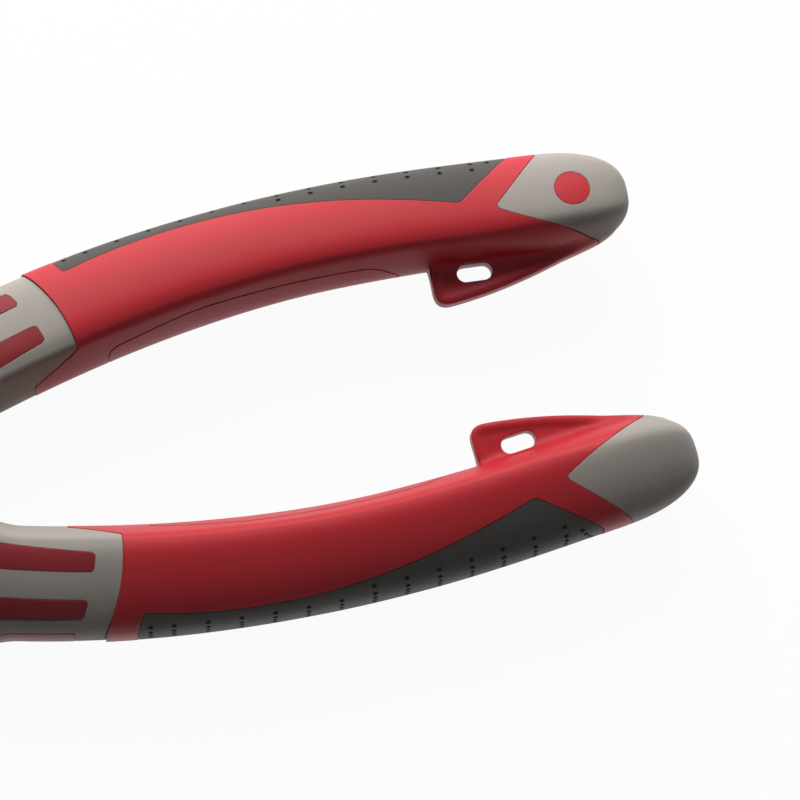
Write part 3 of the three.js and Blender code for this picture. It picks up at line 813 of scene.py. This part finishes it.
def plainMesh(made):  # the evaluated object as a plain mesh, its modifiers gone
    mesh = bpy.data.meshes.new_from_object(made.evaluated_get(bpy.context.evaluated_depsgraph_get()))
    bpy.data.objects.remove(made)
    return mesh


def carved(mesh, steps):
    for operation, tool in steps:
        base, cutter = objectOf(mesh, "base"), objectOf(tool, "cutter")
        change = base.modifiers.new("cut", "BOOLEAN")
        change.operation, change.object, change.solver = operation, cutter, "MANIFOLD"
        mesh = plainMesh(base)
        bpy.data.objects.remove(cutter)
    return mesh


def ringSolid(rings):  # closed body through rings with equally many points
    count = len(rings[0])
    faces = []
    for i in range(len(rings) - 1):
        for j in range(count):
            a, b = i * count + j, i * count + (j + 1) % count
            faces.append([a, b, b + count, a + count])
    faces.append(list(range(count))[::-1])
    faces.append(list(range((len(rings) - 1) * count, len(rings) * count)))
    return np.concatenate(rings), faces


def slotRing(grow):
    turn = np.linspace(-math.pi / 2, math.pi / 2, tab["slotPoints"])
    half, radius = (tab["slotLength"] - tab["slotWidth"]) / 2, tab["slotWidth"] / 2 + grow
    right = np.stack([half + radius * np.cos(turn), radius * np.sin(turn)], -1)
    return np.concatenate([right, -right])


def slotCutter():  # flared at both faces, so that the slot gets rounded edges
    x, depth = tab["slotAt"]
    angle = float(lineAngle(x))
    centre = onLine(x, -depth, 0)
    half, edge, beyond = tab["web"] / 2, tab["slotEdge"], 5
    turns = np.radians([0, 22, 45, 68, 90])
    profile = [(half - edge + edge * math.sin(t), edge * (1 - math.cos(t))) for t in turns]
    profile.append((half + beyond, edge))
    profile = [(-h, g) for h, g in reversed(profile)] + profile
    spin = np.array([[math.cos(angle), math.sin(angle)], [-math.sin(angle), math.cos(angle)]])
    rings = []
    for high, grow in profile:
        flat = slotRing(grow) @ spin + centre[:2]
        rings.append(np.column_stack([flat, np.full(len(flat), high)]))
    return finishMesh("slot", *ringSolid(rings), [redSatin])


bodyMesh = carved(bodyMesh, [("DIFFERENCE", slotCutter())])
bodyMesh.set_sharp_from_angle(angle=softEdge)
print("slot cut:", len(bodyMesh.polygons), "faces")


# Rows of dimples in the palm pad
dimples = {
    "columns": [53.75] + [56.9 + 4.62 * k for k in range(13)] + [115.3],
    "rows": [0.56, 1.7, 2.8, 3.9],  # heights on both sides of the mid plane
    "extraRow": 5.0,  # one more row where the pad is wide
    "extraFrom": 84,
    "extraTo": 113,
    "lift": 0.05,  # share by which the rows spread toward the front
    "liftSpan": (76, 24),  # where that begins, and over what length
    "lastFrom": 114,
    "lastLean": (1.2, 0.45),  # the last column leans with the pad's rear edge
    "width": 0.8,
    "depth": 0.45,
}


def padPoint(x, high):  # offset at a height on the palm side, and how fast it changes with the height
    offset, height = (values[:grip["outerRows"] + 1] for values in gripSection(x, tabOutline()))
    return np.interp(high, height, offset), np.interp(high, height, np.gradient(offset, height))


def dimplePlaces():
    places, outward = [], []
    liftFrom, liftLength = dimples["liftSpan"]
    ahead, back = dimples["lastLean"]
    for x in dimples["columns"]:
        rows = list(dimples["rows"])
        if dimples["extraFrom"] < x < dimples["extraTo"]:
            rows.append(dimples["extraRow"])
        for row in rows:
            lean = ahead - back * row if x > dimples["lastFrom"] else 0.0
            high = row * (1 + dimples["lift"] * float(smooth((liftFrom - x) / liftLength)))
            n, change = padPoint(x + lean, high)
            tilt = float(lineAngle(x))
            for side in (1, -1):
                places.append(onLine(x + lean, n, side * high))
                outward.append((-math.sin(tilt), math.cos(tilt), -change * side))
    mesh = finishMesh("dimple_places", places, [], [])
    mesh.attributes.new("outward", "FLOAT_VECTOR", "POINT").data.foreach_set("vector", np.ravel(outward))
    return objectOf(mesh, "dimple_places")


def dimpleTree():
    tree = bpy.data.node_groups.new("pad_dimples", "GeometryNodeTree")
    tree.interface.new_socket("Geometry", in_out="OUTPUT", socket_type="NodeSocketGeometry")
    inputs = {"Pad": "Geometry", "Places": "Object", "Dimple Width": "Float", "Dimple Depth": "Float",
              "Finish": "Material"}
    sockets = {}
    for name, kind in inputs.items():
        made = tree.interface.new_socket(name, in_out="INPUT", socket_type="NodeSocket" + kind)
        sockets[name] = made.identifier
    given = addNode(tree, "NodeGroupInput", {})
    spots = addNode(tree, "GeometryNodeObjectInfo", {"transform_space": "RELATIVE"},
                    {"Object": given["Places"]})["Geometry"]
    outward = addNode(tree, "GeometryNodeInputNamedAttribute",
                      {"data_type": "FLOAT_VECTOR", "Name": "outward"})[0]
    facing = addNode(tree, "FunctionNodeAlignRotationToVector", {"axis": "Z"}, {"Vector": outward})[0]
    half = addNode(tree, "ShaderNodeMath", {"operation": "MULTIPLY", 1: 0.5},
                   {0: given["Dimple Width"]})[0]
    tall = addNode(tree, "ShaderNodeMath", {"operation": "DIVIDE"},
                   {0: given["Dimple Depth"], 1: half})[0]
    size = addNode(tree, "ShaderNodeCombineXYZ", {"X": 1, "Y": 1}, {"Z": tall})[0]
    ball = addNode(tree, "GeometryNodeMeshUVSphere", {"Segments": 12, "Rings": 8},
                   {"Radius": half})["Mesh"]
    pit = addNode(tree, "GeometryNodeTransform", {}, {"Geometry": ball, "Scale": size})[0]
    pits = addNode(tree, "GeometryNodeInstanceOnPoints", {},
                   {"Points": spots, "Instance": pit, "Rotation": facing})[0]
    real = addNode(tree, "GeometryNodeRealizeInstances", {}, {"Geometry": pits})[0]
    cut = addNode(tree, "GeometryNodeMeshBoolean", {"operation": "DIFFERENCE", "solver": "MANIFOLD"},
                  {"Mesh 1": given["Pad"], "Mesh 2": real})["Mesh"]
    whole = addNode(tree, "GeometryNodeRealizeInstances", {}, {"Geometry": cut})[0]
    done = addNode(tree, "GeometryNodeSetMaterial", {},
                   {"Geometry": whole, "Material": given["Finish"]})[0]
    addNode(tree, "NodeGroupOutput", {}, {"Geometry": done})
    return tree, sockets


def dimpledPad(mesh):
    spots = dimplePlaces()
    tree, sockets = dimpleTree()
    pad = objectOf(mesh, "pad")
    change = pad.modifiers.new("dimples", "NODES")
    change.node_group = tree
    for name, value in (("Places", spots), ("Dimple Width", dimples["width"] * millimetre),
                        ("Dimple Depth", dimples["depth"] * millimetre), ("Finish", darkSoft)):
        change[sockets[name]] = value
    made = plainMesh(pad)
    made.set_sharp_from_angle(angle=softEdge)
    bpy.data.objects.remove(spots)
    return made


padMesh = dimpledPad(padMesh)
print("dimpled pad:", len(padMesh.polygons), "faces")


# Steel lever
jaw = {
    "length": 46,
    "tipWidth": 4.4,
    "tipCorner": 1.6,
    "tipThickness": 8.6,
    "taper": 30,
    "bulge": 2.4,
    "cheek": 16,
    "gap": 0.3,
    "flat": 11.5,
    "toothPitch": 1.3,
    "toothDepth": 0.45,
    "pipe": 10.5,
    "pipeDepth": 2.8,
    "pipePitch": 1.9,
    "pipeTooth": 0.5,
    "cutterLand": 0.2,
    "cutterDepth": 2.7,
    "edge": 0.9,  # rounding along the back of the jaw
    "sharpEdge": 0.08,
    "matingEnd": -11.8,  # the ground mating faces: station, depth and tilt
    "matingDepth": -3.6,
    "matingTilt": 0.3,
}

joint = {
    "radius": 11.5,
    "clearance": 0.25,
    "jawShoulder": 8.5,
    "armShoulder": 9.5,
    "edge": 0.7,
    "rivetRadius": 4.2,
    "headRadius": 6,
    "headRim": 0.6,
    "dishRim": (1.1, 1.5),  # widths of the flat rim round the rivet's dish, without and with its bevel
    "dishDepth": (0.12, 0.2),
    "dishFlat": (0.8, 0.02),  # radii of its flat middle
    "rivetClearance": 0.15,
    "rivetEdge": 0.25,
    "facets": {"room": 72, "disc": 96, "hole": 64, "rivet": 96},
    "beyond": (30, 20, 2),  # how far the cutters stand out across, below and past the rivet
    "groundFlat": 0.985,
    "leverSharp": 32,
    "rivetSharp": 40,
}


def jawOutline():  # places and how much their edges are rounded
    mating, tip = -jaw["gap"] / 2, -jaw["length"]
    pipeFront = tip + jaw["flat"]
    places = [(tip, mating)]
    teeth = int(jaw["flat"] / jaw["toothPitch"])
    land = jaw["flat"] - teeth * jaw["toothPitch"]
    for i in range(teeth):
        crest = tip + land / 2 + i * jaw["toothPitch"]
        places += [(crest, mating), (crest + jaw["toothPitch"] / 2, mating - jaw["toothDepth"])]
    places.append((pipeFront - land / 2, mating))
    radius = (jaw["pipe"] ** 2 / 4 + jaw["pipeDepth"] ** 2) / (2 * jaw["pipeDepth"])
    sweep = math.asin(jaw["pipe"] / 2 / radius)
    ridges = 2 * int(2 * radius * sweep / jaw["pipePitch"])
    for i in range(ridges + 1):
        turn = mix(-sweep, sweep, i / ridges)
        reach = radius - (i % 2) * jaw["pipeTooth"]
        places.append((pipeFront + jaw["pipe"] / 2 + reach * math.sin(turn),
                       mating - jaw["pipeDepth"] + radius - reach * math.cos(turn)))
    places.append((-joint["radius"] / 2, mating))
    sharp = len(places)
    start, end = (0, -joint["radius"] + joint["clearance"]), (tip + jaw["tipCorner"], -jaw["tipWidth"])
    cheek = (-jaw["cheek"], -joint["radius"])
    bend = joint["radius"] + jaw["bulge"] - jaw["tipWidth"]
    back = curve([start, cheek, (end[0] + bend, end[1] - jaw["bulge"]), end], 40)
    nose = curve([end, (tip, -jaw["tipWidth"]), (tip, -jaw["tipWidth"] + jaw["tipCorner"])], 9)[1:]
    places += back + nose
    edges = [jaw["sharpEdge"]] * sharp + [jaw["edge"]] * (len(back) + len(nose))
    edges[-1] = jaw["sharpEdge"]
    return np.array(places[::-1]), np.array(edges[::-1])


def roundedPlate(outline, edges, half):  # a plate over an outline, each place with its own rounding
    before, after = np.roll(outline, 1, 0), np.roll(outline, -1, 0)
    first, second = outline - before, after - outline
    first /= np.linalg.norm(first, axis=1, keepdims=True)
    second /= np.linalg.norm(second, axis=1, keepdims=True)
    inward = np.stack([-first[:, 1] - second[:, 1], first[:, 0] + second[:, 0]], -1)
    inward /= np.maximum(1 + (first * second).sum(1), 0.5)[:, None]
    rings = []
    for t in np.radians([90, 60, 30, 0]):
        inset, drop = edges * (1 - math.cos(t)), edges * (1 - math.sin(t))
        flat = outline + inward * inset[:, None]
        rings.append(np.column_stack([flat, half - drop]))
    lower = [np.column_stack([ring[:, :2], -ring[:, 2]]) for ring in rings]
    return ringSolid(lower + rings[::-1])


def steelSolid(points, faces):
    return finishMesh("steel", points, faces, [steelBlasted])


def taperedJaw():
    outline, edges = jawOutline()
    mesh = steelSolid(*roundedPlate(outline, edges, arm["headThickness"] / 2 - arm["shy"]))
    work = bmesh.new()
    work.from_mesh(mesh)
    bmesh.ops.triangulate(work, faces=[f for f in work.faces if len(f.verts) > 4])
    start = (-jaw["length"] + jaw["taper"]) * millimetre
    bmesh.ops.bisect_plane(work, geom=work.verts[:] + work.edges[:] + work.faces[:],
                           plane_co=(start, 0, 0), plane_no=(1, 0, 0))
    for vert in work.verts:
        if vert.co.x < start:
            share = (start - vert.co.x) / (jaw["taper"] * millimetre)
            vert.co.z *= mix(1, jaw["tipThickness"] / arm["headThickness"], share)
    work.to_mesh(mesh)
    work.free()
    return mesh


def turned(profile, count):  # a lathe about the Z axis, from radius and height
    turn = 2 * math.pi * np.arange(count) / count
    wheel = np.column_stack([np.cos(turn), np.sin(turn)])
    return ringSolid([np.column_stack([r * wheel, np.full(count, z)]) for r, z in profile])


def roundCorner(radius, height, edge):  # quarter round at the upper rim of a turned piece
    turns = np.radians([0, 30, 60, 90])
    return [(radius - edge * (1 - math.cos(t)), height - edge * (1 - math.sin(t))) for t in turns]


def box(low, high):
    flat = [(low[0], low[1]), (high[0], low[1]), (high[0], high[1]), (low[0], high[1])]
    return ringSolid([np.column_stack([flat, np.full(4, z)]) for z in (low[2], high[2])])


def cutterWedge(side):  # what is ground away beside the cutting edge
    mating, top = -jaw["gap"] / 2, arm["headThickness"] / 2
    front = -jaw["length"] + jaw["flat"] + jaw["pipe"]
    rear = -joint["radius"] - joint["clearance"]
    land, low = jaw["cutterLand"], mating - jaw["cutterDepth"]
    reach = joint["radius"]
    profile = [(mating, land), (reach, land), (reach, 2 * top), (low, 2 * top), (low, top)]
    if side < 0:
        profile = profile[::-1]
    return steelSolid(*ringSolid([np.array([(x, y, side * z) for y, z in profile]) for x in (front, rear)]))


def rivetProfile(grow, rise):
    high, head, pin = arm["headThickness"] / 2, joint["headRadius"] + grow, joint["rivetRadius"] + grow
    rim = high - joint["headRim"] - grow
    neck = rim - (joint["headRadius"] - joint["rivetRadius"])
    return [(head, -high - rise), (head, -rim), (pin, -neck), (pin, neck), (head, rim), (head, high + rise)]


def leverMesh():
    floor, high = joint["clearance"] / 2, arm["headThickness"] / 2 - arm["shy"]
    radius, roomRadius, facets = joint["radius"], joint["radius"] + joint["clearance"], joint["facets"]
    across, below, past = joint["beyond"]
    stations = np.concatenate([np.linspace(arm["root"], arm["neckEnd"], arm["neckRings"]),
                               np.linspace(arm["tangFrom"], arm["end"], arm["tangRings"])])
    rings = [armRing(x, -arm["shy"], arm["ringPoints"], arm["squareness"]) for x in stations]
    rim = roundCorner(radius, high, joint["edge"])
    room = turned([(roomRadius, -below), (roomRadius, floor)], facets["room"])
    gap = box((-joint["jawShoulder"], -across, -below), (joint["armShoulder"], across, floor))
    disc = turned([(radius, floor)] + rim, facets["disc"])
    hole = turned(rivetProfile(joint["rivetClearance"], past), facets["hole"])
    return carved(taperedJaw(), [
        ("UNION", steelSolid(*ringSolid(rings))),
        ("DIFFERENCE", steelSolid(*room)),
        ("DIFFERENCE", steelSolid(*gap)),
        ("UNION", steelSolid(*disc)),
        ("DIFFERENCE", cutterWedge(1)),
        ("DIFFERENCE", cutterWedge(-1)),
        ("DIFFERENCE", steelSolid(*hole)),
    ])


def finishLever(mesh):  # the flats of the head and the mating faces are ground
    mesh.materials.clear()
    mesh.materials.append(steelBlasted)
    mesh.materials.append(steelGround)
    finish = []
    for face in mesh.polygons:
        x, y, z = face.center / millimetre
        head = x < 0 or math.hypot(x, y) < joint["radius"]
        flat = abs(face.normal.z) > joint["groundFlat"] and head
        mating = x < jaw["matingEnd"] and y > jaw["matingDepth"] and face.normal.y > jaw["matingTilt"]
        finish.append(1 if flat or mating else 0)
    mesh.polygons.foreach_set("material_index", finish)
    shadeSmooth(mesh, math.radians(joint["leverSharp"]))


steelMesh = leverMesh()
finishLever(steelMesh)
print("lever:", len(steelMesh.polygons), "faces")


def rivetMesh():
    high, head = arm["headThickness"] / 2 - arm["shy"], joint["headRadius"]
    (rim, bevel), (shallow, deep) = joint["dishRim"], joint["dishDepth"]
    upper = roundCorner(head, high, joint["rivetEdge"])
    upper += [(head - rim, high), (head - bevel, high - shallow)]
    upper += [(radius, high - deep) for radius in joint["dishFlat"]]
    profile = [(r, -h) for r, h in reversed(upper)] + rivetProfile(0, 0)[1:-1] + upper
    points, faces = turned(profile, joint["facets"]["rivet"])
    return finishMesh("rivet", points, faces, [steelGround], math.radians(joint["rivetSharp"]))


rivet = rivetMesh()
print("rivet:", len(rivet.polygons), "faces")


# Both halves in place
lift = Matrix.Translation((0, 0, arm["headThickness"] / 2 * millimetre))
restTurn = math.radians(3)
placing = {
    "upper": lift @ Matrix.Rotation(restTurn, 4, "Z"),
    "lower": lift @ Matrix.Rotation(-restTurn, 4, "Z") @ Matrix.Rotation(math.pi, 4, "X"),
}
meshes = {
    "lever": steelMesh,
    "grip_body": bodyMesh,
    "grip_collar": collarMesh,
    "palm_pad": padMesh,
    "end_cap": capMesh,
}
for side, matrix in placing.items():
    for piece, mesh in meshes.items():
        own = mesh.copy()
        own.transform(matrix)
        node = side + "_" + piece
        made = objectOf(own, "moulded_" + node if piece != "lever" else "forged_" + node)
        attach(made, side + "_half")
        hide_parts(node)
rivet.transform(lift)
pin = objectOf(rivet, "turned_pivot_rivet")
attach(pin, "upper_half")
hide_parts("pivot_rivet")


# Floor, light and camera
studio = {
    "floor": "#f4f3f1",
    "floorGlow": 0.95,  # share of plain white that the camera sees on the floor, the rest keeps the shadow
    "floorSize": 6,
    "ambient": "#c9cbce",
    "lowLight": 0.05,  # strength of the room near the horizon and overhead
    "highLight": 0.14,
    "lightSpan": (0.25, 0.95),
    "lowSheen": 1.0,  # the same as reflections see it: pale paper all round, dark above
    "highSheen": 0.28,
    "darkWay": (0, -0.345, 0.939),  # middle of the dark part, behind the camera
    "darkEdge": (0.52, 0.72),
    "aim": (0.08, 0, 0.005),
    "key": {"place": (0.1, 0.44, 0.2), "size": 0.5, "power": 5.3},
    "fill": {"place": (0.35, -0.4, 1.0), "size": 0.8, "power": 0.5},
}


def studioFloor():
    half, low = studio["floorSize"] / 2, cadBox[0][2]
    mesh = bpy.data.meshes.new("floor")
    corners = [(-half, -half, low), (half, -half, low), (half, half, low), (-half, half, low)]
    mesh.from_pydata(corners, [], [(0, 1, 2, 3)])
    material, tree = newMaterial("paper_matt_white")  # photographer's paper sheet: even, matt and very pale
    path = addNode(tree, "ShaderNodeLightPath", {})
    seen = path["Is Camera Ray"]
    for ray in ("Is Glossy Ray", "Is Transmission Ray"):
        seen = addNode(tree, "ShaderNodeMath", {"operation": "MAXIMUM"}, {0: seen, 1: path[ray]})[0]
    share = addNode(tree, "ShaderNodeMath", {"operation": "MULTIPLY", 1: studio["floorGlow"]},
                    {0: seen})[0]
    paper = addNode(tree, "ShaderNodeBsdfDiffuse", {"Color": linearColour(studio["floor"])})[0]
    glow = addNode(tree, "ShaderNodeEmission", {"Strength": 1})[0]
    both = addNode(tree, "ShaderNodeMixShader", {}, {0: share, 1: paper, 2: glow})[0]
    addNode(tree, "ShaderNodeOutputMaterial", {}, {"Surface": both})
    mesh.materials.append(material)
    objectOf(mesh, "studio_floor")


def studioWorld():
    world = bpy.data.worlds.new("studio")
    world.use_nodes = True
    world.node_tree.nodes.clear()
    tree = world.node_tree
    path = addNode(tree, "ShaderNodeLightPath", {})
    way = addNode(tree, "ShaderNodeTexCoord", {})["Generated"]
    height = addNode(tree, "ShaderNodeSeparateXYZ", {}, {"Vector": way})["Z"]
    light = addNode(tree, "ShaderNodeMapRange", {
        "interpolation_type": "SMOOTHSTEP",
        "From Min": studio["lightSpan"][0], "From Max": studio["lightSpan"][1],
        "To Min": studio["lowLight"], "To Max": studio["highLight"],
    }, {"Value": height})["Result"]
    above = addNode(tree, "ShaderNodeVectorMath", {"operation": "DOT_PRODUCT", 1: studio["darkWay"]},
                    {0: way})["Value"]
    sheen = addNode(tree, "ShaderNodeMapRange", {
        "interpolation_type": "SMOOTHSTEP",
        "From Min": studio["darkEdge"][0], "From Max": studio["darkEdge"][1],
        "To Min": studio["lowSheen"], "To Max": studio["highSheen"],
    }, {"Value": above})["Result"]
    strength = addNode(tree, "ShaderNodeMix", {}, {0: path["Is Glossy Ray"], 2: light, 3: sheen})[0]
    soft = addNode(tree, "ShaderNodeBackground", {"Color": linearColour(studio["ambient"])},
                   {"Strength": strength})[0]
    white = addNode(tree, "ShaderNodeBackground", {"Color": (1, 1, 1, 1), "Strength": 1})[0]
    both = addNode(tree, "ShaderNodeMixShader", {}, {0: path["Is Camera Ray"], 1: soft, 2: white})[0]
    addNode(tree, "ShaderNodeOutputWorld", {}, {"Surface": both})
    bpy.context.scene.world = world


def studioLamp(name):
    sizes = studio[name]
    lamp = bpy.data.lights.new(name, "AREA")
    lamp.shape, lamp.size, lamp.energy = "DISK", sizes["size"], sizes["power"]
    made = objectOf(lamp, name + "_light")
    made.visible_camera = made.visible_glossy = False  # reflections show the pale room instead
    aim = Vector(studio["aim"]) - Vector(sizes["place"])
    made.matrix_world = Matrix.Translation(sizes["place"]) @ aim.to_track_quat("-Z", "Y").to_matrix().to_4x4()


view = {
    "target": (0.09409, -0.002791, 0.0052),
    "back": (-0.12187, -0.17365, 0.97724),
    "roll": 12.968,
    "distance": 0.5036,
    "lens": 157.5,
    "sensor": 36,
    "clip": (0.02, 20),
}


def photoCamera():
    back = Vector(view["back"]).normalized()
    right = (Vector((1, 0, 0)) - back * back.x).normalized()
    up = back.cross(right)
    sine, cosine = leaning(view["roll"])
    across, above = right * cosine - up * sine, right * sine + up * cosine
    data = bpy.data.cameras.new("photo")
    data.lens, data.sensor_width = view["lens"], view["sensor"]
    data.clip_start, data.clip_end = view["clip"]
    made = objectOf(data, "photo_camera")
    made.matrix_world = Matrix((across, above, back)).transposed().to_4x4()
    made.matrix_world.translation = Vector(view["target"]) + back * view["distance"]
    bpy.context.scene.camera = made


studioFloor()
studioWorld()
studioLamp("key")
studioLamp("fill")
photoCamera()
bpy.context.scene.view_settings.view_transform = "Standard"
print("studio ready")
